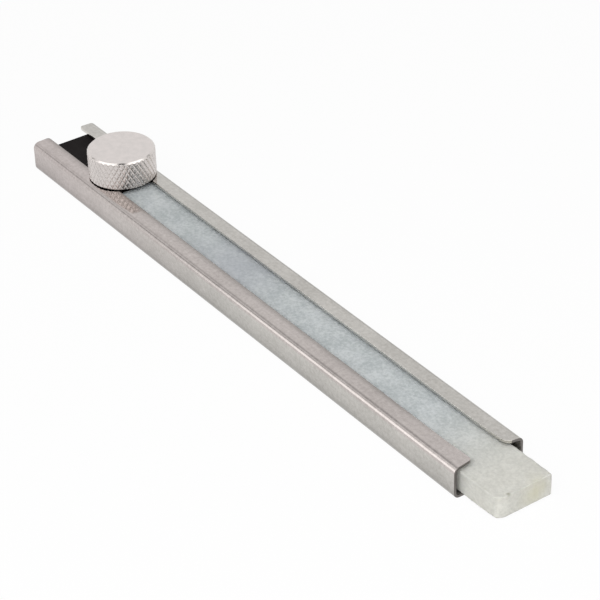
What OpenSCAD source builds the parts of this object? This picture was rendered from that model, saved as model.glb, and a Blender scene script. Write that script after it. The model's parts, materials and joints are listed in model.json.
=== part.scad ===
// Flat soapstone holder: a folded steel channel with two lips, a flat stick of soapstone that lies in it,
// and a plastic slider that pushes the stick out and is locked by a knurled thumb screw.
// Millimetres. +X points out of the front, where the stick shows, and +Z up through the open slot.
// The origin is the middle of the channel's bottom face.

/* [Soapstone stick] */
// Length of the stick
stone_l = 131.6; // [60:0.1:160]
// Width of the stick
stone_w = 12.7; // [10:0.1:20]
// Thickness of the stick
stone_t = 4.76; // [4.2:0.02:7]
// Length of the stick that stands out of the channel's front
stone_out = 10.1; // [2:0.1:25]
// Rounding of the stick's long edges
stone_edge_r = 0.4; // [0.1:0.05:0.8]
// Bevel around the stick's two ends
stone_end_bevel = 0.5; // [0.1:0.05:1]

/* [Channel] */
// Thickness of the folded sheet
sheet_t = 0.6; // [0.5:0.05:1.2]
// Inside radius of the four bends
bend_in_r = 0.8; // [0.2:0.05:0.9]
// Width of the open slot between the two lips
slot_w = 8; // [6:0.1:9.5]
// Angle at which each lip rises from its bend towards the slot
lip_tilt = 2; // [0:0.5:10]
// Free height above the stick, under the lips' bends
headroom = 1.04; // [0.3:0.02:1.5]
// Rounding of the lips' inner corners at the front end
lip_front_r = 1.2; // [0.5:0.1:2.5]
// Rounding of the lips' inner corners at the rear end
lip_rear_r = 0.8; // [0.3:0.1:2.5]

/* [Slider] */
// Length of the slider's body, behind the stick
slider_l = 25.85; // [20:0.05:40]
// Distance from the channel's rear end to the slider's rear face
slider_inset = 2.6; // [0.5:0.05:10]
// Length of the two cheeks that hold the stick's tail
cheek_l = 12; // [4:0.5:25]
// Thickness of each cheek
cheek_t = 0.9; // [0.4:0.05:1.5]
// Thickness of plastic between the nut's pocket and the stick
front_wall = 0.85; // [0.6:0.05:3]
// Bevel along the rear edge of the slider's top
slider_bevel = 0.3; // [0.1:0.05:1]

/* [Thumb screw] */
// Diameter of the knurled knob
knob_d = 14.9; // [12:0.1:20]
// Height of the knob
knob_h = 6.3; // [5.6:0.05:10]
// Bevel at the knob's upper rim
knob_bevel = 0.4; // [0.2:0.05:0.8]
// Bevel at the knob's foot
knob_foot_bevel = 0.15; // [0.1:0.05:0.8]
// Diameter of the screw's stud, at the crests of its thread
stud_d = 4; // [3:0.1:5]
// Depth of the stud's pressed end inside the knob
stud_grip = 4.5; // [3:0.1:5]
// Bevel at the stud's free end
stud_bevel = 0.4; // [0.1:0.05:0.8]
// Thickness of the washer under the knob
washer_t = 0.2; // [0.2:0.05:1.5]
// Mean width of the washer's bearing on the two lips
washer_bearing = 2; // [1:0.1:2.5]
// Offset of the screw from the middle of the slot, towards +Y
screw_y = 0.65; // [0:0.05:1]

/* [Nut] */
// Width of the square nut across its flats
nut_w = 7; // [6.2:0.1:8]
// Height of the nut
nut_h = 2.2; // [1.5:0.05:2.6]
// Depth of the nut's lower face above the slider's bottom
nut_recess = 0.15; // [0.05:0.05:0.4]

/* [Fits] */
// Gap between the stick and each cheek
stone_clear = 0.05; // [0.02:0.01:0.2]
// Gap between the slider and each side wall
side_clear = 0.2; // [0.05:0.01:0.3]
// Gap under the slider and under the stick
floor_clear = 0.05; // [0.02:0.01:0.1]
// Gap between the slider's top and the lips
lip_clear = 0.1; // [0.05:0.01:0.3]
// Gap between the stick's tail and the slider
butt_clear = 0.05; // [0.02:0.01:0.2]
// Gap between the lips and the washer, and between the washer and the knob
seat_clear = 0.02; // [0.01:0.01:0.1]
// Radial gap around the stud in the washer and the slider
stud_clear = 0.1; // [0.03:0.01:0.2]
// Radial gap around the stud in the nut, where the two threads run
thread_clear = 0.05; // [0.02:0.01:0.1]
// Gap around the nut in its pocket
nut_clear = 0.1; // [0.02:0.01:0.2]
// Gap between the stud's free end and the channel's floor
stud_floor_gap = 0.3; // [0.1:0.05:0.8]

/* [Hidden] */
$fn = 96;
// Overshoot that lets every cut run clear of the face it opens
cut = 1;

// Channel, sized round the stick and the cheeks beside it
inner_w = stone_w + 2 * (stone_clear + cheek_t + side_clear);
inner_h = floor_clear + stone_t + headroom;
channel_w = inner_w + 2 * sheet_t;
channel_h = inner_h + 2 * sheet_t;
bend_out_r = bend_in_r + sheet_t;
lip_flat_w = (channel_w - slot_w) / 2 - bend_out_r;
bend_y = channel_w / 2 - bend_out_r;
bend_z = channel_h - bend_out_r;
lip_edge_z = lip_z(bend_out_r, slot_w / 2);
channel_l = slider_inset + slider_l + butt_clear + stone_l - stone_out;
front_x = channel_l / 2;
rear_x = -channel_l / 2;

// Stick and slider along the channel
stone_front_x = front_x + stone_out;
stone_rear_x = stone_front_x - stone_l;
slider_front_x = stone_rear_x - butt_clear;
slider_rear_x = slider_front_x - slider_l;

// Slider's section and the stick's place on the floor
bed_z = sheet_t + floor_clear;
slider_w = inner_w - 2 * side_clear;
slider_top_z = channel_h - sheet_t - lip_clear;
slider_h = slider_top_z - bed_z;
mouth_w = stone_w + 2 * stone_clear;

// Screw's stack, from the nut up to the knob
pocket_w = nut_w + 2 * nut_clear;
screw_x = slider_front_x - front_wall - pocket_w / 2;
nut_z = bed_z + nut_recess;
washer_d = slot_w + 2 * washer_bearing;
washer_z = lip_edge_z + seat_clear;
knob_z = washer_z + washer_t + seat_clear;
stud_tip_z = sheet_t + stud_floor_gap;
stud_l = knob_z + stud_grip - stud_tip_z;

// Height at distance y from the middle of a lip's skin that is bent at radius r
function lip_z(r, y) = bend_z + r / cos(lip_tilt) + (bend_y - y) * tan(lip_tilt);

// Rectangle with round corners, centred on the first axis and standing on the second
module rounded_rect(w, h, r) {
    translate([-w / 2 + r, 0]) square([w - 2 * r, h]);
    translate([-w / 2, r]) square([w, h - 2 * r]);
    for (x = [-w / 2 + r, w / 2 - r], y = [r, h - r])
        translate([x, y]) circle(r = r);
}

// Rectangle with bevelled corners, from x0 to x1 and from y0 to y1
module bevelled_rect(x0, x1, y0, y1, b) {
    polygon([
        [x0 + b, y0], [x1 - b, y0], [x1, y0 + b], [x1, y1 - b],
        [x1 - b, y1], [x0 + b, y1], [x0, y1 - b], [x0, y0 + b]
    ]);
}

// Carries a section drawn across the channel along X, from x0 to x1
module along_x(x0, x1) {
    translate([x0, 0, 0]) rotate([90, 0, 90]) linear_extrude(x1 - x0) children();
}

// What a round corner leaves of a square one, with the corner at the origin and the piece on its -X, +Y side
module corner_waste(r) {
    difference() {
        translate([-r, -cut]) square([r + cut, r + cut]);
        translate([-r, r]) circle(r = r);
    }
}

// Cuts the inner corners of both lips at one end, which faces +X for dir 1 and -X for dir -1
module lip_corners(end_x, dir, r) {
    lip_r = min(r, lip_flat_w);
    for (side = [0, 1])
        mirror([0, side, 0])
            translate([end_x, slot_w / 2, channel_h - sheet_t - lip_clear])
                linear_extrude(channel_h)
                    mirror([dir < 0 ? 1 : 0, 0, 0]) corner_waste(lip_r);
}

// Section inside one skin of the sheet, which runs round the four bends at radius r and rises to a ridge
module skin(r) {
    half_w = bend_y + r;
    lip_y = bend_y + r * sin(lip_tilt);
    side = [[bend_y, bend_out_r - r], [half_w, bend_out_r], [half_w, bend_z], [lip_y, lip_z(r, lip_y)]];
    other = [for (i = [len(side) - 1:-1:0]) [-side[i].x, side[i].y]];
    polygon(concat(side, [[0, lip_z(r, 0)]], other));
    for (y = [-bend_y, bend_y], z = [bend_out_r, bend_z])
        translate([y, z]) circle(r = r);
}

// Folded channel, open at both ends and along its top
module channel() {
    color("silver")
        difference() {
            along_x(rear_x, front_x)
                difference() {
                    skin(bend_out_r);
                    skin(bend_in_r);
                    translate([-slot_w / 2, channel_h / 2]) square([slot_w, channel_h + cut]);
                }
            lip_corners(front_x, 1, lip_front_r);
            lip_corners(rear_x, -1, lip_rear_r);
        }
}

// Flat stick, with rounded long edges and bevelled ends
module soapstone() {
    color("gainsboro")
        intersection() {
            along_x(stone_rear_x, stone_front_x)
                translate([0, bed_z]) rounded_rect(stone_w, stone_t, stone_edge_r);
            linear_extrude(channel_h + cut)
                bevelled_rect(stone_rear_x, stone_front_x, -stone_w / 2, stone_w / 2, stone_end_bevel);
            translate([0, stone_w / 2 + cut, 0]) rotate([90, 0, 0]) linear_extrude(stone_w + 2 * cut)
                bevelled_rect(stone_rear_x, stone_front_x, bed_z, bed_z + stone_t, stone_end_bevel);
        }
}

// Slider body with a mouth for the stick's tail, a hole for the stud and a pocket for the nut
module slider_block() {
    color("dimgray")
        difference() {
            along_x(slider_rear_x, slider_front_x + cheek_l)
                translate([0, bed_z]) rounded_rect(slider_w, slider_h, bend_in_r);
            translate([slider_front_x, -mouth_w / 2, 0]) cube([cheek_l + cut, mouth_w, channel_h]);
            translate([slider_rear_x, 0, slider_top_z]) rotate([0, 45, 0])
                cube([slider_bevel * sqrt(2), slider_w + 2 * cut, slider_bevel * sqrt(2)], center = true);
            translate([screw_x, screw_y, 0]) cylinder(d = stud_d + 2 * stud_clear, h = channel_h);
            translate([screw_x - pocket_w / 2, screw_y - pocket_w / 2, bed_z - cut])
                cube([pocket_w, pocket_w, cut + nut_recess + nut_h]);
        }
}

// Square nut, held from turning by its pocket
module captive_nut() {
    color("darkgray")
        translate([screw_x, screw_y, nut_z])
            difference() {
                translate([-nut_w / 2, -nut_w / 2, 0]) cube([nut_w, nut_w, nut_h]);
                translate([0, 0, -cut]) cylinder(d = stud_d + 2 * thread_clear, h = nut_h + 2 * cut);
            }
}

// Knob, turned from bar, with a plain top and a blind bore for the stud
module thumb_knob() {
    knob_r = knob_d / 2;
    bore_r = stud_d / 2;
    color("lightgray")
        translate([screw_x, screw_y, knob_z])
            rotate_extrude()
                polygon([
                    [bore_r, 0], [knob_r - knob_foot_bevel, 0], [knob_r, knob_foot_bevel],
                    [knob_r, knob_h - knob_bevel], [knob_r - knob_bevel, knob_h],
                    [0, knob_h], [0, stud_grip], [bore_r, stud_grip]
                ]);
}

// Stud, pressed into the knob, at the full diameter of its thread
module threaded_stud() {
    stud_r = stud_d / 2;
    color("gray")
        translate([screw_x, screw_y, stud_tip_z])
            rotate_extrude()
                polygon([
                    [0, 0], [stud_r - stud_bevel, 0], [stud_r, stud_bevel], [stud_r, stud_l], [0, stud_l]
                ]);
}

// Flat washer that spans the slot and bears on both lips
module knob_washer() {
    color("silver")
        translate([screw_x, screw_y, washer_z])
            difference() {
                cylinder(d = washer_d, h = washer_t);
                translate([0, 0, -cut]) cylinder(d = stud_d + 2 * stud_clear, h = washer_t + 2 * cut);
            }
}

channel();
soapstone();
slider_block();
captive_nut();
thumb_knob();
threaded_stud();
knob_washer();
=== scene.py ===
import json
import math

import bmesh
import bpy
import numpy as np
from mathutils import Matrix, Vector

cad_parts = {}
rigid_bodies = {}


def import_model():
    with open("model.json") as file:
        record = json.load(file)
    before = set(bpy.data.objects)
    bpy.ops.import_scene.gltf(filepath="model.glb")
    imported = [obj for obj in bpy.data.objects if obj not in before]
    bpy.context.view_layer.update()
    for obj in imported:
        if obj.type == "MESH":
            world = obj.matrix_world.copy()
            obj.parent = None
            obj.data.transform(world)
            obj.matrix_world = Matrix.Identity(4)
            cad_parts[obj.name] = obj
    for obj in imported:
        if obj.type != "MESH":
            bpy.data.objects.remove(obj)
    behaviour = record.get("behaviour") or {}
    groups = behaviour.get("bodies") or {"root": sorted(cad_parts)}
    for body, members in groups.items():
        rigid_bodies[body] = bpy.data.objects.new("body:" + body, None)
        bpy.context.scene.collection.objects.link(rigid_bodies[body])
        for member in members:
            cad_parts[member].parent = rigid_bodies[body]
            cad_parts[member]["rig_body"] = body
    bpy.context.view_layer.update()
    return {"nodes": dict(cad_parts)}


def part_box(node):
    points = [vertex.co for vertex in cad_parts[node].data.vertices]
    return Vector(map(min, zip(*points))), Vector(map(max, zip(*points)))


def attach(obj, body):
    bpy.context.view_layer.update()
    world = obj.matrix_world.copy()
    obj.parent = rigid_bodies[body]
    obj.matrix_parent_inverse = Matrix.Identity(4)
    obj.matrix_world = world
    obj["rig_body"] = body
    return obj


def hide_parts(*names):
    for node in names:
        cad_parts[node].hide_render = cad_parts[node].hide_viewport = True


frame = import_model()
scene = bpy.context.scene
scene.view_settings.view_transform = "Standard"
mm = 0.001  # sizes in the dictionaries are millimetres, the meshes are metres
noiseRange = (0.3, 0.7)  # nearly all values of a noise texture lie between these


# sRGB hex to linear: the standard curve, with its straight foot below 0.04
def linearColour(hexCode):
    part = np.array([int(hexCode[i:i + 2], 16) for i in (1, 3, 5)]) / 255
    linear = np.where(part <= 0.04045, part / 12.92, ((part + 0.055) / 1.055) ** 2.4)
    return (*linear.tolist(), 1.0)


# adds one node: settings are its properties, inputs are values or other nodes' sockets
def addNode(tree, kind, settings=None, inputs=None):
    node = tree.nodes.new(kind)
    for name, value in (settings or {}).items():
        setattr(node, name, value)
    for name, value in (inputs or {}).items():
        if isinstance(value, bpy.types.NodeSocket):
            tree.links.new(value, node.inputs[name])
        else:
            node.inputs[name].default_value = value
    return node


# a new material with its shader, its output and its Object coordinates
def startMaterial(name, **shaderInputs):
    material = bpy.data.materials.new(name)
    material.use_nodes = True
    tree = material.node_tree
    tree.nodes.clear()
    shader = addNode(tree, "ShaderNodeBsdfPrincipled", inputs=shaderInputs)
    addNode(tree, "ShaderNodeOutputMaterial", inputs={"Surface": shader.outputs["BSDF"]})
    coords = addNode(tree, "ShaderNodeTexCoord").outputs["Object"]
    return material, tree, shader, coords


# direction from an azimuth round +Z, measured from +X, and an elevation, both in degrees
def direction(azimuth, elevation):
    a = math.radians(azimuth)
    e = math.radians(elevation)
    return Vector((math.cos(e) * math.cos(a), math.cos(e) * math.sin(a), math.sin(e)))


# stands something at a place with its back along a direction, rolled about it by so many degrees
def standing(place, back, roll):
    level = back.to_track_quat("Z", "Y").to_matrix()
    turned = level @ Matrix.Rotation(math.radians(roll), 3, "Z")
    return Matrix.Translation(place) @ turned.to_4x4()


# camera: on the ray from its target, turned about its own line of sight by the roll
cameraView = dict(azimuth=-34.630, elevation=33.586, roll=-1.887, distance=460.77,
                  target=(9.08, 5.09, 3.5), lens=136.511, sensor=36.0, nearest=10, farthest=20000)


def makeCamera():
    data = bpy.data.cameras.new("photoCamera")
    data.sensor_width = cameraView["sensor"]
    data.lens = cameraView["lens"]
    data.clip_start = cameraView["nearest"] * mm
    data.clip_end = cameraView["farthest"] * mm
    camera = bpy.data.objects.new("photoCamera", data)
    scene.collection.objects.link(camera)
    back = direction(cameraView["azimuth"], cameraView["elevation"])
    place = Vector(cameraView["target"]) * mm + back * cameraView["distance"] * mm
    camera.matrix_world = standing(place, back, cameraView["roll"])
    scene.camera = camera


makeCamera()
print("camera:", [round(v, 4) for v in scene.camera.matrix_world.translation])

# studio: a soft key box above the camera for the matt surfaces; four cards that polished metal mirrors; a
# white surround, and dark gaps in it which only polished metal shows
studio = dict(
    ambient=0.16,  # what the surround gives to matt surfaces
    lamps=dict(
        keyBox=dict(azimuth=-41, elevation=45, roll=0, size=(560, 340), radiance=7.45, mirrored=False),
        leftCard=dict(azimuth=-98, elevation=50, roll=20, size=(640, 300), radiance=0.8, mirrored=True),
        rightCard=dict(azimuth=30, elevation=52, roll=-22, size=(540, 200), radiance=1.0, mirrored=True),
        frontCard=dict(azimuth=-30, elevation=34, roll=0, size=(960, 330), radiance=0.7, mirrored=True),
        lowCard=dict(azimuth=-118, elevation=12, roll=0, size=(440, 340), radiance=0.9, mirrored=True),
    ),
    lampDistance=700,
    gaps=dict(
        overCamera=dict(azimuth=-34, elevation=60, radius=9, edge=3, dark=1.0),
        leftOfCamera=dict(azimuth=-50, elevation=12, radius=12, edge=5, dark=0.5),
        behindLeft=dict(azimuth=-163, elevation=52, radius=10, edge=6, dark=0.4),
        backLow=dict(azimuth=134, elevation=9, radius=7, edge=4, dark=0.35),
        rightGap=dict(azimuth=78, elevation=31, radius=5, edge=3, dark=0.6),
        leftGap=dict(azimuth=-145, elevation=27, radius=5, edge=3, dark=0.6),
    ),
    floorSize=6000, floorColour="#e8e8e7", floorGap=0.02,
    floorGlow=dict(camera=0.95, metal=0.85),  # how much of the floor's white is its own
)


def makeLamps():
    for name, card in studio["lamps"].items():
        data = bpy.data.lights.new(name, "AREA")
        data.shape = "RECTANGLE"
        data.size, data.size_y = [side * mm for side in card["size"]]
        data.energy = card["radiance"] * math.pi * data.size * data.size_y
        lamp = bpy.data.objects.new(name, data)
        scene.collection.objects.link(lamp)
        towards = direction(card["azimuth"], card["elevation"])
        lamp.matrix_world = standing(towards * studio["lampDistance"] * mm, towards, card["roll"])
        lamp.visible_camera = False
        lamp.visible_glossy = card["mirrored"]


# the surround: even light for matt surfaces, white for the camera, white with dark gaps for polished metal
def makeWorld():
    world = bpy.data.worlds.new("studioWorld")
    scene.world = world
    world.use_nodes = True
    tree = world.node_tree
    tree.nodes.clear()
    path = addNode(tree, "ShaderNodeLightPath")
    ray = addNode(tree, "ShaderNodeTexCoord").outputs["Generated"]
    shown = 1.0
    for gap in studio["gaps"].values():
        middle = direction(gap["azimuth"], gap["elevation"])
        near = addNode(tree, "ShaderNodeVectorMath", {"operation": "DOT_PRODUCT"}, {0: ray, 1: middle})
        rim = [math.cos(math.radians(gap["radius"] + side * gap["edge"])) for side in (1, -1)]
        level = addNode(tree, "ShaderNodeMapRange", {"interpolation_type": "SMOOTHSTEP"}, {
            "Value": near.outputs["Value"], "From Min": rim[0], "From Max": rim[1],
            "To Min": 1.0, "To Max": 1.0 - gap["dark"]})
        shown = addNode(tree, "ShaderNodeMath", {"operation": "MULTIPLY"}, {
            0: shown, 1: level.outputs["Result"]}).outputs["Value"]
    even = addNode(tree, "ShaderNodeBackground", inputs={"Strength": studio["ambient"]})
    glossy = addNode(tree, "ShaderNodeBackground", inputs={"Strength": shown})
    white = addNode(tree, "ShaderNodeBackground", inputs={"Strength": 1.0})
    for background in (even, glossy, white):
        background.inputs["Color"].default_value = (1, 1, 1, 1)
    mirrored = addNode(tree, "ShaderNodeMath", {"operation": "MAXIMUM"}, {
        0: path.outputs["Is Glossy Ray"], 1: path.outputs["Is Transmission Ray"]})
    lit = addNode(tree, "ShaderNodeMixShader", inputs={
        0: mirrored.outputs["Value"], 1: even.outputs[0], 2: glossy.outputs[0]})
    seen = addNode(tree, "ShaderNodeMixShader", inputs={
        0: path.outputs["Is Camera Ray"], 1: lit.outputs[0], 2: white.outputs[0]})
    addNode(tree, "ShaderNodeOutputWorld", inputs={"Surface": seen.outputs[0]})


# white painted board: matt, and white by its own glow to the camera and to metal
def makeFloor():
    half = studio["floorSize"] * mm / 2
    corners = np.array([[-1, -1, 0], [1, -1, 0], [1, 1, 0], [-1, 1, 0]]) * half
    corners[:, 2] = -studio["floorGap"] * mm
    mesh = bpy.data.meshes.new("floor")
    mesh.from_pydata(corners.tolist(), [], [[0, 1, 2, 3]])
    floor = bpy.data.objects.new("floor", mesh)
    scene.collection.objects.link(floor)
    material = bpy.data.materials.new("whiteBoard")
    material.use_nodes = True
    tree = material.node_tree
    tree.nodes.clear()
    path = addNode(tree, "ShaderNodeLightPath")
    paint = linearColour(studio["floorColour"])
    matt = addNode(tree, "ShaderNodeBsdfDiffuse", inputs={"Color": paint})
    glow = addNode(tree, "ShaderNodeEmission", inputs={"Color": (1, 1, 1, 1), "Strength": 1.0})
    mirrored = addNode(tree, "ShaderNodeMath", {"operation": "MAXIMUM"}, {
        0: path.outputs["Is Glossy Ray"], 1: path.outputs["Is Transmission Ray"]})
    toMetal = addNode(tree, "ShaderNodeMath", {"operation": "MULTIPLY"}, {
        0: mirrored.outputs["Value"], 1: studio["floorGlow"]["metal"]})
    share = addNode(tree, "ShaderNodeMath", {"operation": "MULTIPLY_ADD"}, {
        0: path.outputs["Is Camera Ray"], 1: studio["floorGlow"]["camera"], 2: toMetal.outputs["Value"]})
    seen = addNode(tree, "ShaderNodeMixShader", inputs={
        0: share.outputs["Value"], 1: matt.outputs[0], 2: glow.outputs[0]})
    addNode(tree, "ShaderNodeOutputMaterial", inputs={"Surface": seen.outputs[0]})
    mesh.materials.append(material)


makeLamps()
makeWorld()
makeFloor()
print("studio:", len(studio["lamps"]), "lamps,", len(studio["gaps"]), "gaps")


# quads of a grid whose columns run round and close; its rows close too where wrapRows is set
def gridQuads(rows, columns, wrapRows=False):
    r = np.arange(rows if wrapRows else rows - 1)[:, None]
    c = np.arange(columns)[None, :]
    nextRow = (r + 1) % rows * columns
    nextColumn = (c + 1) % columns
    row = r * columns
    return np.stack([row + c, row + nextColumn, nextRow + nextColumn, nextRow + c], -1).reshape(-1, 4)


# triangles from one closed ring to a single point
def poleFan(ringStart, columns, pole):
    c = np.arange(columns)
    return np.stack([ringStart + c, ringStart + (c + 1) % columns, np.full(columns, pole)], -1)


# faces of a closed skin: a grid, and a fan from each end of it to a pole; both poles follow the grid's points
def skinFaces(rows, columns):
    pole = rows * columns
    return [gridQuads(rows, columns), poleFan(0, columns, pole)[:, ::-1],
            poleFan(pole - columns, columns, pole + 1)]


# points at radius r, angle and height z round an upright axis through the centre
def roundAxis(centre, r, angle, z):
    return np.stack([centre[0] + r * np.cos(angle), centre[1] + r * np.sin(angle), z], -1)


# puts points and faces into a mesh, turns it outwards, and lets it stand for its CAD node on the same body
def makePiece(name, points, faces, node, material, sharpAngle, values=None):
    mesh = bpy.data.meshes.new(name)
    mesh.from_pydata(points.reshape(-1, 3) * mm, [], [face for group in faces for face in group.tolist()])
    for attribute, value in (values or {}).items():
        layer = mesh.attributes.new(attribute, "FLOAT", "POINT")
        layer.data.foreach_set("value", value.astype(np.float32).ravel())
    shape = bmesh.new()
    shape.from_mesh(mesh)
    if shape.calc_volume(signed=True) < 0:
        bmesh.ops.reverse_faces(shape, faces=shape.faces)
        shape.to_mesh(mesh)
    loose = sum(not edge.is_manifold for edge in shape.edges)
    shape.free()
    mesh.polygons.foreach_set("use_smooth", np.ones(len(mesh.polygons), bool))
    mesh.set_sharp_from_angle(angle=math.radians(sharpAngle))
    mesh.materials.append(material)
    piece = bpy.data.objects.new(name, mesh)
    scene.collection.objects.link(piece)
    cadNode = frame["nodes"][node]
    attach(piece, cadNode["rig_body"])
    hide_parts(node)
    print(name + ":", len(mesh.vertices), "points,", len(mesh.polygons), "faces,", loose, "open edges")


# corners of a CAD node in millimetres
def boxOf(node):
    low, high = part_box(node)
    return np.array(low) / mm, np.array(high) / mm


# Bright rolled steel strip, sheared and folded. It mirrors softly; a fine mottle from pickling and handling
# breaks up what it mirrors, with faint streaks along the rolling direction, and its sheared ends are dull.
# the sheet's darker foot, brighter upper bends, its lips' levels and the darkening along the near lip's edge
# are painted light and shade
rolledSteel = dict(
    pale="#c9c6c1", dark="#adaaa5", shearedEdgeAndShade="#7d7976", warmTint=(1.03, 0.96, 0.985),
    mottle=0.8, cloud=9.0, streakLength=30.0, streakWidth=0.5, cloudShare=0.5, streakShare=0.25,
    toneRange=(0.6, 1.15), wearAndPaintedLight=(0.755, 1.02), roughness=(0.15, 0.23), burnished=0.06, inside=0.5,
    edgeRoughness=0.55, bumpStrength=0.2, bumpHeight=0.01)


def makeRolledSteel():
    material, tree, shader, coords = startMaterial("rolledSteelStrip", Metallic=1.0)
    size = {name: 1 / (rolledSteel[name] * mm) for name in ("mottle", "cloud", "streakLength", "streakWidth")}
    mottle = addNode(tree, "ShaderNodeTexNoise", inputs={
        "Vector": coords, "Scale": size["mottle"], "Detail": 4.0, "Roughness": 0.65})
    cloud = addNode(tree, "ShaderNodeTexNoise", inputs={
        "Vector": coords, "Scale": size["cloud"], "Detail": 3.0})
    stretched = addNode(tree, "ShaderNodeMapping", inputs={
        "Vector": coords, "Scale": (size["streakLength"], size["streakWidth"], size["streakWidth"])})
    streak = addNode(tree, "ShaderNodeTexNoise", inputs={
        "Vector": stretched.outputs[0], "Scale": 1.0, "Detail": 2.0})
    tone = addNode(tree, "ShaderNodeMath", {"operation": "MULTIPLY_ADD"}, {
        0: streak.outputs["Fac"], 1: rolledSteel["streakShare"], 2: mottle.outputs["Fac"]})
    tone = addNode(tree, "ShaderNodeMath", {"operation": "MULTIPLY_ADD"}, {
        0: cloud.outputs["Fac"], 1: rolledSteel["cloudShare"], 2: tone.outputs[0]})
    low, high = rolledSteel["toneRange"]
    toneLevel = addNode(tree, "ShaderNodeMapRange", inputs={
        "Value": tone.outputs[0], "From Min": low, "From Max": high})
    sheet = addNode(tree, "ShaderNodeMix", {"data_type": "RGBA"}, {
        0: toneLevel.outputs[0], 6: linearColour(rolledSteel["dark"]), 7: linearColour(rolledSteel["pale"])})
    # painted reflection: darker near the floor and brighter towards the upper bends, as the wall mirrors the
    # floor's shade near its foot
    wearAndPaintedLight = addNode(tree, "ShaderNodeAttribute", {"attribute_name": "wearAndPaintedLight"})
    paintedShadeLevel, bright = rolledSteel["wearAndPaintedLight"]
    shine = addNode(tree, "ShaderNodeMapRange", {"clamp": False}, {
        "Value": wearAndPaintedLight.outputs["Fac"], "To Min": paintedShadeLevel, "To Max": bright})
    sheetWithPaintedLight = addNode(tree, "ShaderNodeVectorMath", {"operation": "SCALE"}, {
        0: sheet.outputs[2], "Scale": shine.outputs[0]})
    # a faint warm tint where it is handled most
    warm = addNode(tree, "ShaderNodeAttribute", {"attribute_name": "warm"})
    tint = addNode(tree, "ShaderNodeMix", {"data_type": "RGBA"}, {
        0: warm.outputs["Fac"], 6: (1, 1, 1, 1), 7: (*rolledSteel["warmTint"], 1)})
    sheetWithPaintedLight = addNode(tree, "ShaderNodeVectorMath", {"operation": "MULTIPLY"}, {
        0: sheetWithPaintedLight.outputs[0], 1: tint.outputs[2]})
    edge = addNode(tree, "ShaderNodeAttribute", {"attribute_name": "shearedEndsAndShade"})
    colour = addNode(tree, "ShaderNodeMix", {"data_type": "RGBA"}, {
        0: edge.outputs["Fac"], 6: sheetWithPaintedLight.outputs[0], 7: linearColour(rolledSteel["shearedEdgeAndShade"])})
    low, high = rolledSteel["roughness"]
    gloss = addNode(tree, "ShaderNodeMapRange", inputs={
        "Value": mottle.outputs["Fac"], "From Min": noiseRange[0], "From Max": noiseRange[1],
        "To Min": low, "To Max": high})
    # the lips are burnished by the screw, which slides on them
    burnished = addNode(tree, "ShaderNodeAttribute", {"attribute_name": "burnished"})
    gloss = addNode(tree, "ShaderNodeMix", {"data_type": "FLOAT"}, {
        0: burnished.outputs["Fac"], 2: gloss.outputs[0], 3: rolledSteel["burnished"]})
    # the inside is never handled and stays dull
    inside = addNode(tree, "ShaderNodeAttribute", {"attribute_name": "inside"})
    gloss = addNode(tree, "ShaderNodeMix", {"data_type": "FLOAT"}, {
        0: inside.outputs["Fac"], 2: gloss.outputs[0], 3: rolledSteel["inside"]})
    rough = addNode(tree, "ShaderNodeMix", {"data_type": "FLOAT"}, {
        0: edge.outputs["Fac"], 2: gloss.outputs[0], 3: rolledSteel["edgeRoughness"]})
    bump = addNode(tree, "ShaderNodeBump", inputs={
        "Height": mottle.outputs["Fac"], "Strength": rolledSteel["bumpStrength"],
        "Distance": rolledSteel["bumpHeight"] * mm})
    tree.links.new(colour.outputs[2], shader.inputs["Base Color"])
    tree.links.new(rough.outputs[0], shader.inputs["Roughness"])
    tree.links.new(bump.outputs[0], shader.inputs["Normal"])
    return material


# the folded sheet: thickness, inside bend, tilt of the lips, slot between them, their round corners, and how
# far their edges are sprung up at the front; then its painted light and shade, where a level of 1 is the top
# of a wall, and its warm tint
foldedSheet = dict(
    thickness=0.6, bendInside=0.8, tilt=2.0, slot=8.0, nearCorner=0.7, farCorner=1.7, rearCorner=0.8,
    flare=0.28, flareReach=9.0, edgeRound=0.07, bendSteps=14, cornerSteps=14, edgeSteps=3, station=1.5,
    sharpAngle=50, paintedFrom=0.5, nearLipLight=0.65, farLipLight=0.82, farEdgeHighlight=2.0, floorLight=0.65,
    frontLight=0.25, frontLightFrom=-10.0, frontLightReach=80.0, grimeAndPaintedShade=0.5, shadeBelow=2.3,
    nearEdgeShade=0.55, nearEdgeShadeFrom=9.0, nearEdgeShadeReach=12.0, warmReach=60.0, warmLip=0.75)


# how far a quarter round of radius r draws an edge back, at distance d from the end it rounds
def quarterRound(d, r):
    left = r - np.minimum(d, r)
    return r - np.sqrt(r * r - left * left)


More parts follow.
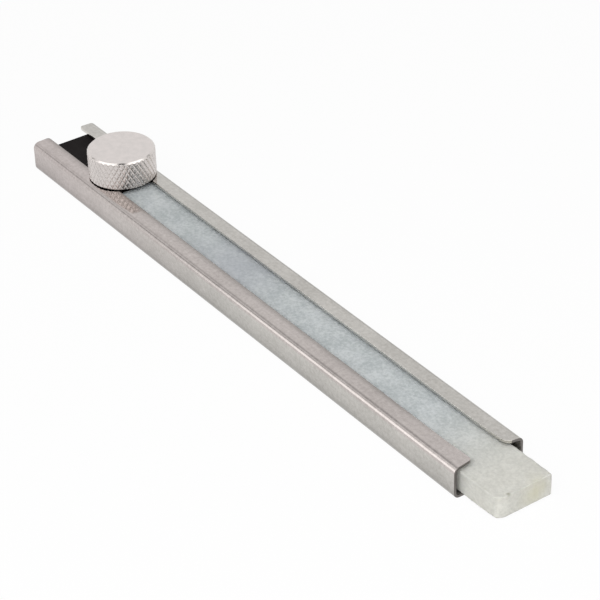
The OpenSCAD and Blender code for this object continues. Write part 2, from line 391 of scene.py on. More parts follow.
# The channel: a middle line runs from one lip, down the wall, under the floor and up to the other lip.
# Its outer and inner skins stand half the thickness to either side, and round over at the lips' edges.
# At each station along X the lips end where their round corners do, and the ends' own edges round over too.
# Towards the front the lips' edges spring up smoothly, less and less towards the bends.
def makeChannel(material):
    low, high = boxOf("channel")
    half = foldedSheet["thickness"] / 2
    turn = foldedSheet["bendInside"] + half  # radius of the bends at the middle line
    edge = foldedSheet["edgeRound"]
    tilt = math.radians(foldedSheet["tilt"])
    slotY = foldedSheet["slot"] / 2
    sideY = high[1] - half - turn  # where the flats meet the bends
    lowZ = half + turn
    highZ = high[2] - (turn + half) / math.cos(tilt) - (sideY - slotY) * math.tan(tilt)
    front = [(r, foldedSheet["cornerSteps"]) for r in (foldedSheet["nearCorner"], foldedSheet["farCorner"])]
    rear = [(foldedSheet["rearCorner"], foldedSheet["cornerSteps"])]
    rim = [(edge, foldedSheet["edgeSteps"])]
    closer = [np.concatenate([quarterRound(np.linspace(0, r, n + 1), r) for r, n in rounds])
              for rounds in (front + rim, rear + rim)]
    plain = np.arange(low[0] + foldedSheet["station"], high[0], foldedSheet["station"])
    x = np.unique(np.round(np.concatenate([high[0] - closer[0], low[0] + closer[1], plain]), 3))[:, None]
    fromFront = high[0] - x
    fromRear = x - low[0]
    fromEnd = np.minimum(fromFront, fromRear)
    thick = half - quarterRound(fromEnd, edge)
    ones = np.ones_like(x)
    sprung = np.clip(1 - fromFront / foldedSheet["flareReach"], 0, 1)
    sprung = foldedSheet["flare"] * sprung * sprung * (3 - 2 * sprung)
    flat = np.array([0, 0.02, 0.25, 0.5, 0.75, 0.98, 1])  # close points at both ends keep the flats flat
    level = np.ones_like(flat)
    upper = np.linspace(tilt, np.pi / 2, foldedSheet["bendSteps"] + 1)[1:-1]
    lower = np.linspace(0, np.pi / 2, foldedSheet["bendSteps"] + 1)[1:-1]
    # half of the middle line, from a lip's edge to the middle of the floor, for either lip
    lines = []
    for corner in ("nearCorner", "farCorner"):
        tip = (slotY + quarterRound(fromFront, foldedSheet[corner])
               + quarterRound(fromRear, foldedSheet["rearCorner"]) + edge)
        lipY = tip + (sideY + turn * math.sin(tilt) - tip) * flat
        lipZ = highZ + turn / math.cos(tilt) + (sideY - lipY) * math.tan(tilt)
        lipZ += sprung * np.clip((sideY - lipY) / (sideY - slotY), 0, 1)
        y = np.hstack([lipY, ones * (sideY + turn * np.sin(upper)), ones * (sideY + turn) * level,
                       ones * (sideY + turn * np.cos(lower)), ones * sideY * (1 - flat)])
        z = np.hstack([lipZ, ones * (highZ + turn * np.cos(upper)), ones * (highZ + (lowZ - highZ) * flat),
                       ones * (lowZ - turn * np.sin(lower)), ones * (lowZ - turn) * level])
        lines.append((y, z))
    outY = np.concatenate([level * math.sin(tilt), np.sin(upper), level, np.cos(lower), level * 0])
    outZ = np.concatenate([level * math.cos(tilt), np.cos(upper), level * 0, -np.sin(lower), -level])
    # both halves in one run: the near lip first, its points mirrored, and the floor's middle only once
    (nearY, nearZ), (farY, farZ) = lines
    y = np.hstack([-nearY, farY[:, -2::-1]])
    z = np.hstack([nearZ, farZ[:, -2::-1]])
    outY = np.concatenate([-outY, outY[-2::-1]])
    outZ = np.concatenate([outZ, outZ[-2::-1]])
    count = y.shape[1]
    # round over of a lip's edge: two quarter rounds with a flat between them, square to the tilted lip
    over = np.linspace(0, np.pi, 2 * foldedSheet["edgeSteps"] + 2)[1:-1]
    lift = np.where(over < np.pi / 2, 1.0, -1.0) * (thick - edge) + edge * np.cos(over)
    reach = edge * np.sin(over)
    inwards = lift * math.sin(tilt) - reach * math.cos(tilt)
    upwards = lift * math.cos(tilt) + reach * math.sin(tilt)
    outer = np.stack([y + outY * thick, z + outZ * thick], -1)
    inner = np.stack([y - outY * thick, z - outZ * thick], -1)
    farTip = np.stack([y[:, -1:] + inwards, z[:, -1:] + upwards], -1)
    nearTip = np.stack([y[:, :1] - inwards, z[:, :1] + upwards], -1)
    loop = np.concatenate([outer, farTip, inner[:, ::-1], nearTip[:, ::-1]], 1)
    rows, columns = loop.shape[:2]
    points = np.concatenate([np.broadcast_to(x[:, :, None], (rows, columns, 1)), loop], -1)
    steps = farTip.shape[1]
    i = np.arange(count - 1)
    across = 2 * count + steps - 1 - i  # the inner skin's point beside the outer skin's point i
    cap = np.stack([i, i + 1, across - 1, across], -1)
    farCap = np.arange(count - 1, count + steps + 1)[None, :]
    nearCap = np.concatenate([np.arange(2 * count + steps - 1, columns), [0]])[None, :]
    last = (rows - 1) * columns
    faces = [gridQuads(rows, columns), cap + last, farCap + last, nearCap + last,
             cap[:, ::-1], farCap[:, ::-1], nearCap[:, ::-1]]
    makePiece("channelSheet", points, faces, "channel", material, foldedSheet["sharpAngle"], {
        "shearedEndsAndShade": shearedAndShadeShare(fromFront, fromEnd, count, steps, columns),
        "wearAndPaintedLight": paintedLightShare(points, highZ, turn, sideY, count, steps),
        "burnished": np.where(points[:, :, 2] > highZ + turn + 0.9 * half, 1.0, 0.0),  # the lips' upper faces
        "inside": insideShare(rows, columns, count, steps),
        "warm": warmShare(points, highZ)})


# 1 at the sheared ends; less along the near lip's slot edge, where it is painted shade that fades out near
# the front
def shearedAndShadeShare(fromFront, fromEnd, count, steps, columns):
    lipEdgeShade = (fromFront - foldedSheet["nearEdgeShadeFrom"]) / foldedSheet["nearEdgeShadeReach"]
    lipEdgeShade = foldedSheet["nearEdgeShade"] * np.clip(lipEdgeShade, 0, 1)
    fading = np.array([1, 1, 0.4])  # over the near lip's first points
    shearedEndsAndShade = np.zeros((len(fromFront), columns))
    shearedEndsAndShade[:, 2 * count + steps:] = lipEdgeShade
    shearedEndsAndShade[:, :len(fading)] = lipEdgeShade * fading
    shearedEndsAndShade[(fromEnd < foldedSheet["edgeRound"] / 2).ravel()] = 1.0
    return shearedEndsAndShade


# painted light and shade: brighter up its wall, as the wall mirrors the floor's shade near its foot, going
# over to each lip's own painted level in the upper bend; painted shade along the lower bends, painted
# brighter towards the front, and a painted highlight at the far lip's edge
def paintedLightShare(points, highZ, turn, sideY, count, steps):
    x, y, z = np.moveaxis(points, -1, 0)
    lipLevel = np.where(y < 0, foldedSheet["nearLipLight"], foldedSheet["farLipLight"])
    overBend = np.clip((z - highZ) / (0.5 * turn) - 0.5, 0, 1)  # over the middle half of the bend's height
    upWall = np.clip((z - foldedSheet["paintedFrom"]) / (highZ - foldedSheet["paintedFrom"]), 0, 1)
    wearAndPaintedLight = upWall * (1 - overBend) + lipLevel * overBend
    # painted shade along the lower bends, where they mirror the floor's shade
    wearAndPaintedLight -= foldedSheet["grimeAndPaintedShade"] * np.clip(foldedSheet["shadeBelow"] - z, 0, 1)
    # painted light: the walls brighter towards the front
    forward = (x - foldedSheet["frontLightFrom"]) / foldedSheet["frontLightReach"]
    wearAndPaintedLight += foldedSheet["frontLight"] * np.clip(forward, 0, 1)
    wearAndPaintedLight[np.abs(y) < 0.9 * sideY] = foldedSheet["floorLight"]  # short of the lower bends
    wearAndPaintedLight = np.where(z > highZ + turn, lipLevel, wearAndPaintedLight)
    # a painted highlight on the far lip's slot edge
    wearAndPaintedLight[:, count:count + steps] = foldedSheet["farEdgeHighlight"]
    return wearAndPaintedLight


# 1 on the inner skin
def insideShare(rows, columns, count, steps):
    inside = np.zeros((rows, columns))
    inside[:, count + steps:2 * count + steps] = 1.0
    return inside


# warm from handling on the near side, more towards the rear, and all along its lip
def warmShare(points, highZ):
    x, y, z = np.moveaxis(points, -1, 0)
    warm = np.where(y < 0, np.clip(-x / foldedSheet["warmReach"], 0, 1), 0)
    return np.where((y < 0) & (z > highZ), np.maximum(warm, foldedSheet["warmLip"]), warm)


makeChannel(makeRolledSteel())


# Soapstone, sawn into flat sticks. Talc makes it a soft, waxy, slightly see-through pale grey with a cloudy
# grain; the tip is whiter, partly rubbed chalky by marking and partly painted light where the stick leaves
# the lips' shade. A dull patch, a yellowish stain and a dark speck are spots.
soapStone = dict(
    body="#cacecf", bodyDark="#acb2b3", tip="#d3d2cb", tipDark="#c3c2bb", tipFrom=55.0, tipTo=82.0,
    cloud=5.0, fine=0.65, grain=2.0, contrast=0.3, roughness=(0.5, 0.65), sideShade=0.93,
    refraction=1.54, sheen=0.2, seeThrough=0.12, lightDepth=1.2, bumpStrength=0.3, bumpHeight=0.05,
    spots=dict(
        patch=dict(colour="#a7a9b2", at=(-7.0, 0.0, 5.4), size=18.0, ragged=8.0, strength=0.4),
        stain=dict(colour="#c9c5a8", at=(85.1, 2.4, 3.0), size=4.2, ragged=5.0, strength=0.55),
        speck=dict(colour="#8d8a76", at=(84.75, -3.66, 5.35), size=0.6, ragged=0.4, strength=0.8)))


def makeSoapStone():
    material, tree, shader, coords = startMaterial("sawnSoapstone", **{
        "IOR": soapStone["refraction"], "Specular IOR Level": soapStone["sheen"],
        "Subsurface Weight": soapStone["seeThrough"], "Subsurface Scale": soapStone["lightDepth"] * mm,
        "Subsurface Radius": (1.0, 1.0, 0.85)})  # blue goes in a little less deep
    size = {name: 1 / (soapStone[name] * mm) for name in ("cloud", "fine")}
    cloud = addNode(tree, "ShaderNodeTexNoise", inputs={
        "Vector": coords, "Scale": size["cloud"], "Detail": 5.0, "Roughness": 0.6})
    fine = addNode(tree, "ShaderNodeTexNoise", inputs={
        "Vector": coords, "Scale": size["fine"], "Detail": 4.0, "Roughness": 0.7})
    both = addNode(tree, "ShaderNodeMath", {"operation": "MULTIPLY_ADD"}, {
        0: fine.outputs["Fac"], 1: soapStone["grain"], 2: cloud.outputs["Fac"]})
    evenLevel = 0.5 + 0.5 * soapStone["grain"]  # the middle of both noises together
    cloudy = addNode(tree, "ShaderNodeMapRange", inputs={
        "Value": both.outputs[0], "From Min": evenLevel - soapStone["contrast"],
        "From Max": evenLevel + soapStone["contrast"]})
    body = addNode(tree, "ShaderNodeMix", {"data_type": "RGBA"}, {
        0: cloudy.outputs[0], 6: linearColour(soapStone["bodyDark"]), 7: linearColour(soapStone["body"])})
    tip = addNode(tree, "ShaderNodeMix", {"data_type": "RGBA"}, {
        0: cloudy.outputs[0], 6: linearColour(soapStone["tipDark"]), 7: linearColour(soapStone["tip"])})
    # whiter towards the tip: partly rubbed chalky by marking, partly painted light where the stick leaves the
    # lips' shade
    place = addNode(tree, "ShaderNodeSeparateXYZ", inputs={0: coords})
    wearAndPaintedLight = addNode(tree, "ShaderNodeMapRange", {"interpolation_type": "SMOOTHSTEP"}, {
        "Value": place.outputs["X"], "From Min": soapStone["tipFrom"] * mm,
        "From Max": soapStone["tipTo"] * mm})
    colour = addNode(tree, "ShaderNodeMix", {"data_type": "RGBA"}, {
        0: wearAndPaintedLight.outputs[0], 6: body.outputs[2], 7: tip.outputs[2]})
    # spots fade with the distance from their middle, to which the cloud adds a ragged edge
    for spot in soapStone["spots"].values():
        away = addNode(tree, "ShaderNodeVectorMath", {"operation": "DISTANCE"}, {
            0: coords, 1: Vector(spot["at"]) * mm})
        uneven = addNode(tree, "ShaderNodeMath", {"operation": "MULTIPLY_ADD"}, {
            0: cloud.outputs["Fac"], 1: spot["ragged"] * mm, 2: away.outputs["Value"]})
        core = 0.5 * spot["ragged"] * mm  # what the cloud adds on average
        spread = addNode(tree, "ShaderNodeMapRange", {"interpolation_type": "SMOOTHSTEP"}, {
            "Value": uneven.outputs[0], "From Min": core, "From Max": core + spot["size"] * mm,
            "To Min": spot["strength"], "To Max": 0.0})
        colour = addNode(tree, "ShaderNodeMix", {"data_type": "RGBA"}, {
            0: spread.outputs[0], 6: colour.outputs[2], 7: linearColour(spot["colour"])})
    # painted shade: the sawn sides and end a little darker than the top, and the rounded edges darker still
    paintedSideShade = addNode(tree, "ShaderNodeAttribute", {"attribute_name": "paintedSideShade"})
    shade = addNode(tree, "ShaderNodeMapRange", {"clamp": False}, {
        "Value": paintedSideShade.outputs["Fac"], "To Min": 1.0, "To Max": soapStone["sideShade"]})
    colour = addNode(tree, "ShaderNodeVectorMath", {"operation": "SCALE"}, {
        0: colour.outputs[2], "Scale": shade.outputs[0]})
    low, high = soapStone["roughness"]
    rough = addNode(tree, "ShaderNodeMapRange", inputs={
        "Value": fine.outputs["Fac"], "From Min": noiseRange[0], "From Max": noiseRange[1],
        "To Min": low, "To Max": high})
    bump = addNode(tree, "ShaderNodeBump", inputs={
        "Height": fine.outputs["Fac"], "Strength": soapStone["bumpStrength"],
        "Distance": soapStone["bumpHeight"] * mm})
    tree.links.new(colour.outputs[0], shader.inputs["Base Color"])
    tree.links.new(rough.outputs[0], shader.inputs["Roughness"])
    tree.links.new(bump.outputs[0], shader.inputs["Normal"])
    return material


# the stick: rounding of its long edges and ends, the wear of its marking end, its chips and uneven face, each
# with its wavelength and a turn that sets the waves apart, where the painted shade of its sawn sides begins,
# and how much more painted shade its rounded edges take
stoneStick = dict(
    edgeRound=0.3, frontRound=0.22, tailRound=0.15, leastRound=0.06, arcSteps=7, wideSteps=24, thickSteps=10,
    frontSteps=8, tailSteps=6, station=1.0, fineStation=0.3, fineReach=12.0, sharpAngle=60,
    cornerBack=0.9, cornerIn=1.6, wearReach=3.0, lowWear=0.5, lowReach=10.0, chip=0.07, chipZone=0.9,
    chipWaves=(5.0, 0.7), face=0.05, faceWaves=(6.0, 2.1), sideShadeFrom=0.4, sideShadeBlend=0.3,
    roundEdgeShade=1.5, edgeSpread=1.2)


# rounded rectangle as one closed loop: four quarter rounds, with points along the straight sides between them
def roundedLoop(halfY, halfZ, radius, arcSteps, wideSteps, thickSteps):
    runs = []
    for corner, (signY, signZ) in enumerate([(1, 1), (-1, 1), (-1, -1), (1, -1)]):
        angle = (corner + np.linspace(0, 1, arcSteps + 1)) * np.pi / 2
        y = signY * (halfY - radius) + radius * np.cos(angle)
        z = signZ * (halfZ - radius) + radius * np.sin(angle)
        runs.append(np.stack([y, z], -1))
    closed = []
    for corner, run in enumerate(runs):
        steps = wideSteps if corner % 2 == 0 else thickSteps
        share = np.linspace(0, 1, steps + 1)[None, 1:-1, None]
        closed += [run, run[:, -1:] * (1 - share) + runs[(corner + 1) % 4][:, :1] * share]
    return np.concatenate(closed, 1)


# smooth unevenness, about -1 to 1: the mean of six sine waves whose headings, lengths and starts differ
def unevenness(points, wavelength, turns):
    k = np.arange(6)
    heading = np.stack([np.cos(2.4 * k + turns), np.sin(2.4 * k + turns), np.cos(1.7 * k - turns)], -1)
    phase = points @ heading.T * (2 * np.pi / wavelength) * (1 + 0.31 * k) + 1.9 * k * turns
    return np.sin(phase).mean(-1) * 1.6  # a mean of six is small, so it is raised


# The stick: a rounded rectangle carried along X, drawn in at both ends by a quarter round and closed by
# smaller and smaller loops. Chips and wear only take stone away, most of all at one corner of the front.
def makeStone(material):
    low, high = boxOf("soapstone")
    middle = (low + high) / 2
    halfY, halfZ = (high - low)[1:] / 2
    frontRound = stoneStick["frontRound"]
    tailRound = stoneStick["tailRound"]
    fineFrom = high[0] - stoneStick["fineReach"]
    x = np.unique(np.round(np.concatenate([
        low[0] + quarterRound(np.linspace(0, tailRound, stoneStick["tailSteps"] + 1), tailRound),
        high[0] - quarterRound(np.linspace(0, frontRound, stoneStick["frontSteps"] + 1), frontRound),
        np.arange(low[0] + stoneStick["station"], fineFrom, stoneStick["station"]),
        np.arange(fineFrom, high[0] - frontRound, stoneStick["fineStation"])]), 3))[:, None]
    inset = quarterRound(x - low[0], tailRound) + quarterRound(high[0] - x, frontRound)
    capScale = np.array([0.06, 0.25, 0.5, 0.7, 0.86, 0.95])[:, None]  # loops that close an end
    scale = np.vstack([capScale, np.ones_like(x), capScale[::-1]])
    x = np.vstack([np.full_like(capScale, low[0]), x, np.full_like(capScale, high[0])])
    inset = np.vstack([np.full_like(capScale, tailRound), inset, np.full_like(capScale, frontRound)])
    radius = np.maximum(stoneStick["edgeRound"] - inset, stoneStick["leastRound"])
    loop = roundedLoop(halfY - inset, halfZ - inset, radius, stoneStick["arcSteps"],
                       stoneStick["wideSteps"], stoneStick["thickSteps"]) * scale[:, :, None]
    rows, columns = loop.shape[:2]
    points = np.concatenate([np.broadcast_to(x[:, :, None], (rows, columns, 1)), loop], -1)
    poles = np.array([[low[0], 0, 0], [high[0], 0, 0]])
    points = np.vstack([points.reshape(-1, 3), poles])
    # how far a point lies on a rounded edge, from its distances to the two nearest sides
    gap = np.stack([high[0] - points[:, 0], halfY - np.abs(points[:, 1]), halfZ - np.abs(points[:, 2])], -1)
    nearest = np.sort(gap, -1)
    fromEdge = np.hypot(nearest[:, 0], nearest[:, 1]) / stoneStick["edgeRound"]
    onEdge = np.clip(stoneStick["edgeSpread"] - fromEdge, 0, 1)
    # chips along the long edges: where both sides are near, the edge gives way
    nearEdge = np.clip(1 - np.hypot(gap[:, 1], gap[:, 2]) / stoneStick["chipZone"], 0, 1)
    chip = np.clip(unevenness(points, *stoneStick["chipWaves"]), 0, 1) * nearEdge * stoneStick["chip"]
    points[:, 1] -= np.sign(points[:, 1]) * chip
    points[:, 2] -= np.sign(points[:, 2]) * chip
    # the near lower edge: rubbed off at a slope that grows towards the front
    cut = np.clip(1 - (high[0] - points[:, 0]) / stoneStick["lowReach"], 0, 1) * stoneStick["lowWear"]
    cut = np.clip(cut - (points[:, 1] + halfY) - (points[:, 2] + halfZ), 0, None) / 2
    points[:, 1:] += cut[:, None]
    # the front face: one upright corner rubbed off, and a slightly uneven face
    share = np.clip((points[:, 0] - high[0] + stoneStick["wearReach"]) / stoneStick["wearReach"], 0, 1)
    share = share * share * (3 - 2 * share)
    cornerOff = np.clip(1 - (points[:, 1] + halfY) / stoneStick["cornerIn"], 0, 1) * stoneStick["cornerBack"]
    waves = unevenness(points * [0.2, 1, 1], *stoneStick["faceWaves"])  # drawn out along X
    uneven = np.clip(0.5 + 0.5 * waves, 0, 1) * stoneStick["face"]
    points[:, 0] -= share * (cornerOff + uneven)
    # painted shade on the sawn sides and end, by how near a point lies to them, and more on the rounded edges
    paintedSideShade = np.maximum(np.abs(points[:, 1]) - halfY, points[:, 0] - high[0] + cornerOff - frontRound)
    paintedSideShade = np.clip((paintedSideShade + stoneStick["sideShadeFrom"]) / stoneStick["sideShadeBlend"], 0, 1)
    paintedSideShade += stoneStick["roundEdgeShade"] * onEdge
    points[:, 1] += middle[1]
    points[:, 2] += middle[2]
    makePiece("soapstoneStick", points, skinFaces(rows, columns), "soapstone", material,
              stoneStick["sharpAngle"], {"paintedSideShade": paintedSideShade})


makeStone(makeSoapStone())


# Nickel plate on turned brass. It is brighter than the strip, with fine rings from the lathe on its top,
# and a cut diamond knurl that holds a little grime in its grooves.
nickelPlate = dict(
    bright="#d8d1ce", worn="#d1cbc8", grimeAndPaintedShade="#d2ccc7", cloud=1.5, cloudRange=(0.35, 0.65),
    roughness=(0.17, 0.31), cloudRoughness=0.06, ringPitch=0.35, ringStrength=0.2, ringHeight=0.004)


def makeNickelPlate(centre):
    material, tree, shader, coords = startMaterial("nickelPlate", Metallic=1.0)
    cloud = addNode(tree, "ShaderNodeTexNoise", inputs={
        "Vector": coords, "Scale": 1 / (nickelPlate["cloud"] * mm), "Detail": 3.0})
    low, high = nickelPlate["cloudRange"]
    level = addNode(tree, "ShaderNodeMapRange", inputs={
        "Value": cloud.outputs["Fac"], "From Min": low, "From Max": high})
    plate = addNode(tree, "ShaderNodeMix", {"data_type": "RGBA"}, {
        0: level.outputs[0], 6: linearColour(nickelPlate["worn"]), 7: linearColour(nickelPlate["bright"])})
    groove = addNode(tree, "ShaderNodeAttribute", {"attribute_name": "groove"})
    colour = addNode(tree, "ShaderNodeMix", {"data_type": "RGBA"}, {
        0: groove.outputs["Fac"], 6: plate.outputs[2], 7: linearColour(nickelPlate["grimeAndPaintedShade"])})
    centred = addNode(tree, "ShaderNodeMapping", inputs={
        "Vector": coords, "Location": (-centre[0], -centre[1], 0)})
    # at a scale of 1 the wave texture repeats every 2 pi / 20
    rings = addNode(tree, "ShaderNodeTexWave", {"wave_type": "RINGS", "rings_direction": "Z"}, {
        "Vector": centred.outputs[0], "Scale": 2 * math.pi / 20 / (nickelPlate["ringPitch"] * mm),
        "Distortion": 0.6, "Detail": 1.0})
    bump = addNode(tree, "ShaderNodeBump", inputs={
        "Height": rings.outputs["Fac"], "Strength": nickelPlate["ringStrength"],
        "Distance": nickelPlate["ringHeight"] * mm})
    # the turned faces are smoother than the cut knurl
    cut = addNode(tree, "ShaderNodeAttribute", {"attribute_name": "cut"})
    turned, knurled = nickelPlate["roughness"]
    rough = addNode(tree, "ShaderNodeMapRange", inputs={
        "Value": cut.outputs["Fac"], "To Min": turned, "To Max": knurled})
    rough = addNode(tree, "ShaderNodeMath", {"operation": "MULTIPLY_ADD"}, {
        0: cloud.outputs["Fac"], 1: nickelPlate["cloudRoughness"], 2: rough.outputs[0]})
    tree.links.new(colour.outputs[2], shader.inputs["Base Color"])
    tree.links.new(rough.outputs[0], shader.inputs["Roughness"])
    tree.links.new(bump.outputs[0], shader.inputs["Normal"])
    return material


# the knob: a diamond knurl of two opposite helices, rim and foot bevels, and the stud's bore
knob = dict(starts=40, helix=30.0, depth=0.16, second=0.86, crest=0.5, stepsPerStart=16, rim=0.4, rimSteps=7,
            foot=0.03, footSteps=6, bore=4.0, boreDepth=4.5, sharpAngle=32)


# height of the diamonds between 0 in a groove and 1 on a flat crest: the lower of two triangle waves, one
# for each helix, which run round with the angle and up or down with the height; the second is cut less deep
def diamonds(angle, height, period):
    around = angle * knob["starts"] / (2 * np.pi)
    waves = [around + height / period, around - height / period]
    ridge = [1 - np.abs(2 * (wave % 1) - 1) for wave in waves]
    ridge[1] = 1 - knob["second"] * (1 - ridge[1])
    return np.clip(np.minimum(*ridge) / knob["crest"], 0, 1)


# The knob: a turned profile swept round the screw's axis. On its side the radius falls by the knurl's depth
# in the grooves, which run out through the rim and the foot, and nowhere passes the bevels' cones. Its
# underside has the stud's blind bore.
def makeKnob(material):
    low, high = boxOf("thumb_knob")
    centre = (low + high) / 2
    radius = (high[0] - low[0]) / 2
    bottom, top = low[2], high[2]
    footZ = bottom + knob["foot"]
    rimZ = top - knob["rim"]
    columns = knob["starts"] * knob["stepsPerStart"]
    angle = np.arange(columns)[None, :] * (2 * np.pi / columns)
    period = 2 * np.pi * radius / knob["starts"] / math.tan(math.radians(knob["helix"]))
    step = period / knob["stepsPerStart"]
    span = step * math.ceil((top - bottom) / step)  # more than the side, which then takes its part of it
    side = np.arange(centre[2] - span, centre[2] + span, step)
    side = side[(side > footZ) & (side < rimZ)]
    z = np.unique(np.round(np.concatenate([
        np.linspace(bottom, footZ, knob["footSteps"] + 1), side,
        np.linspace(rimZ, top, knob["rimSteps"] + 1)]), 4))
    z = z[::-1, None]
    height = diamonds(angle, z - centre[2], period)
    cone = radius - np.maximum(np.maximum(z - rimZ, footZ - z), 0)
    knurled = np.minimum(radius - knob["depth"] * (1 - height), cone)
    plain = np.ones_like(angle)
    topR = (radius - knob["rim"]) * np.array([0.04, 0.15, 0.3, 0.5, 0.7, 0.85, 0.94, 0.985])[:, None]
    bore = knob["bore"] / 2
    footR = radius - knob["foot"]
    under = np.array([0.99, 0.9, 0.7, 0.4, 0.2, 0.06])  # shares of the way from the bore out to the foot
    inBore = np.array([1, 1, 1, 1, 0.95, 0.5, 0.15])  # shares of the bore's radius, up it and over its end
    upBore = np.array([0, 0.03, 0.5, 1, 1, 1, 1])  # shares of the bore's depth at the same points
    underR = np.concatenate([bore + (footR - bore) * under, bore * inBore])[:, None]
    underZ = bottom + knob["boreDepth"] * np.concatenate([0 * under, upBore])[:, None]
    r = np.vstack([topR * plain, knurled, underR * plain])
    z = np.vstack([np.full_like(topR, top) * plain, z * plain, underZ * plain])
    rows = len(r)
    poles = np.array([[centre[0], centre[1], top], [centre[0], centre[1], bottom + knob["boreDepth"]]])
    points = np.vstack([roundAxis(centre, r, angle, z).reshape(-1, 3), poles])
    sideRows = slice(len(topR), len(topR) + len(knurled))
    groove = np.zeros((rows, columns))
    groove[sideRows] = (1 - height) ** 2
    cut = np.zeros((rows, columns))
    cut[sideRows] = knurled < cone - 0.001  # a micrometre or more below the bevels' cones
    groove, cut = [np.concatenate([value.ravel(), [0, 0]]) for value in (groove, cut)]  # and the two poles
    makePiece("knurledKnob", points, skinFaces(rows, columns), "thumb_knob", material, knob["sharpAngle"],
              {"groove": groove, "cut": cut})


knobLow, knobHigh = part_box("thumb_knob")
makeKnob(makeNickelPlate((knobLow + knobHigh) / 2))


# Bright zinc plate on steel fasteners: a cool, slightly cloudy grey.
zincPlate = dict(pale="#c3c6ca", dark="#a9adb2", cloud=1.2, roughness=(0.26, 0.4))


def makeZincPlate():
    material, tree, shader, coords = startMaterial("zincPlatedSteel", Metallic=1.0)
    cloud = addNode(tree, "ShaderNodeTexNoise", inputs={
        "Vector": coords, "Scale": 1 / (zincPlate["cloud"] * mm), "Detail": 4.0})
    level = addNode(tree, "ShaderNodeMapRange", inputs={
        "Value": cloud.outputs["Fac"], "From Min": noiseRange[0], "From Max": noiseRange[1]})
    colour = addNode(tree, "ShaderNodeMix", {"data_type": "RGBA"}, {
        0: level.outputs[0], 6: linearColour(zincPlate["dark"]), 7: linearColour(zincPlate["pale"])})
    low, high = zincPlate["roughness"]
    rough = addNode(tree, "ShaderNodeMapRange", inputs={
        "Value": level.outputs[0], "To Min": high, "To Max": low})
    tree.links.new(colour.outputs[2], shader.inputs["Base Color"])
    tree.links.new(rough.outputs[0], shader.inputs["Roughness"])
    return material


# the stud's metric thread, from its free end up to the knob
stud = dict(pitch=0.7, depth=0.43, tip=0.4, stepsPerTurn=48, stepsPerPitch=12, flatCrest=0.18, sharpAngle=50)


# The stud: its radius falls into a groove that climbs one pitch a turn, a triangle wave of the height less
# the angle's share of a turn, with flat crests. A cone rounds off its free end, and its top stays plain.
def makeStud(material):
    low, high = boxOf("threaded_stud")
    centre = (low + high) / 2
    radius = (high[0] - low[0]) / 2
    plainFrom = boxOf("thumb_knob")[0][2]
    angle = np.arange(stud["stepsPerTurn"])[None, :] * (2 * np.pi / stud["stepsPerTurn"])
    threadZ = np.arange(low[2], plainFrom, stud["pitch"] / stud["stepsPerPitch"])
    z = np.unique(np.round(np.concatenate([threadZ, [plainFrom, high[2]]]), 4))[:, None]
    turn = ((z - low[2]) / stud["pitch"] - angle / (2 * np.pi)) % 1
    crest = np.clip((1 - np.abs(2 * turn - 1)) / (1 - stud["flatCrest"]), 0, 1)
    fade = np.clip((plainFrom - z) / stud["pitch"], 0, 1)
    cone = radius - np.maximum(low[2] + stud["tip"] - z, 0)
    r = np.minimum(radius - stud["depth"] * (1 - crest) * fade, cone)
    r = np.vstack([r[:1] / 2, r, r[-1:] / 2])  # a ring half way in on either end
    z = np.vstack([z[:1], z, z[-1:]]) * np.ones_like(angle)
    poles = np.array([[centre[0], centre[1], low[2]], [centre[0], centre[1], high[2]]])
    points = np.vstack([roundAxis(centre, r, angle, z).reshape(-1, 3), poles])
    makePiece("screwStud", points, skinFaces(*r.shape), "threaded_stud", material, stud["sharpAngle"])


# the washer: its hole and the rounding of its punched edges
washer = dict(hole=4.2, edgeRound=0.08, arcSteps=5, wideSteps=6, thickSteps=2, steps=120, sharpAngle=40)


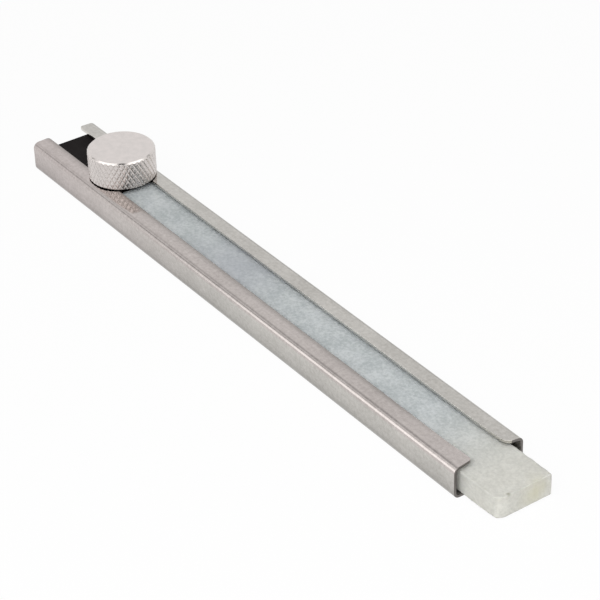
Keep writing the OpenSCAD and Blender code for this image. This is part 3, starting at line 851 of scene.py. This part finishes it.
# The washer: a rounded rectangle swept round the screw's axis
def makeWasher(material):
    low, high = boxOf("knob_washer")
    centre = (low + high) / 2
    outer = (high[0] - low[0]) / 2
    hole = washer["hole"] / 2
    one = np.ones((1, 1))
    loop = roundedLoop(one * (outer - hole) / 2, one * (high[2] - low[2]) / 2, one * washer["edgeRound"],
                       washer["arcSteps"], washer["wideSteps"], washer["thickSteps"])[0]
    angle = np.arange(washer["steps"])[:, None] * (2 * np.pi / washer["steps"])
    r = (outer + hole) / 2 + loop[None, :, 0]
    z = (centre[2] + loop[None, :, 1]) * np.ones_like(angle)
    faces = [gridQuads(washer["steps"], loop.shape[0], wrapRows=True)]
    makePiece("flatWasher", roundAxis(centre, r, angle, z), faces, "knob_washer", material,
              washer["sharpAngle"])


zinc = makeZincPlate()
makeStud(zinc)
makeWasher(zinc)


# Moulded black nylon: a soft sheen over a fine, even grain, slightly worn where it slides.
blackNylon = dict(black="#0f0b0b", worn="#151111", grain=0.22, cloud=4.0, cloudRange=(0.35, 0.7),
                  roughness=(0.45, 0.55), refraction=1.53, sheen=0.035, grainStrength=0.2, grainHeight=0.02)


def makeBlackNylon():
    material, tree, shader, coords = startMaterial("mouldedBlackNylon", **{
        "IOR": blackNylon["refraction"], "Specular IOR Level": blackNylon["sheen"]})
    grain = addNode(tree, "ShaderNodeTexNoise", inputs={
        "Vector": coords, "Scale": 1 / (blackNylon["grain"] * mm), "Detail": 2.0})
    cloud = addNode(tree, "ShaderNodeTexNoise", inputs={
        "Vector": coords, "Scale": 1 / (blackNylon["cloud"] * mm), "Detail": 4.0})
    low, high = blackNylon["cloudRange"]
    level = addNode(tree, "ShaderNodeMapRange", inputs={
        "Value": cloud.outputs["Fac"], "From Min": low, "From Max": high})
    colour = addNode(tree, "ShaderNodeMix", {"data_type": "RGBA"}, {
        0: level.outputs[0], 6: linearColour(blackNylon["black"]), 7: linearColour(blackNylon["worn"])})
    low, high = blackNylon["roughness"]
    rough = addNode(tree, "ShaderNodeMapRange", inputs={
        "Value": cloud.outputs["Fac"], "From Min": noiseRange[0], "From Max": noiseRange[1],
        "To Min": high, "To Max": low})
    bump = addNode(tree, "ShaderNodeBump", inputs={
        "Height": grain.outputs["Fac"], "Strength": blackNylon["grainStrength"],
        "Distance": blackNylon["grainHeight"] * mm})
    tree.links.new(colour.outputs[2], shader.inputs["Base Color"])
    tree.links.new(rough.outputs[0], shader.inputs["Roughness"])
    tree.links.new(bump.outputs[0], shader.inputs["Normal"])
    return material


# CAD nodes that keep their own shape and take a finish
for node, material in (("slider_block", makeBlackNylon()), ("captive_nut", zinc)):
    slots = frame["nodes"][node].data.materials
    slots.clear()
    slots.append(material)
print("finishes:", sorted(material.name for material in bpy.data.materials))
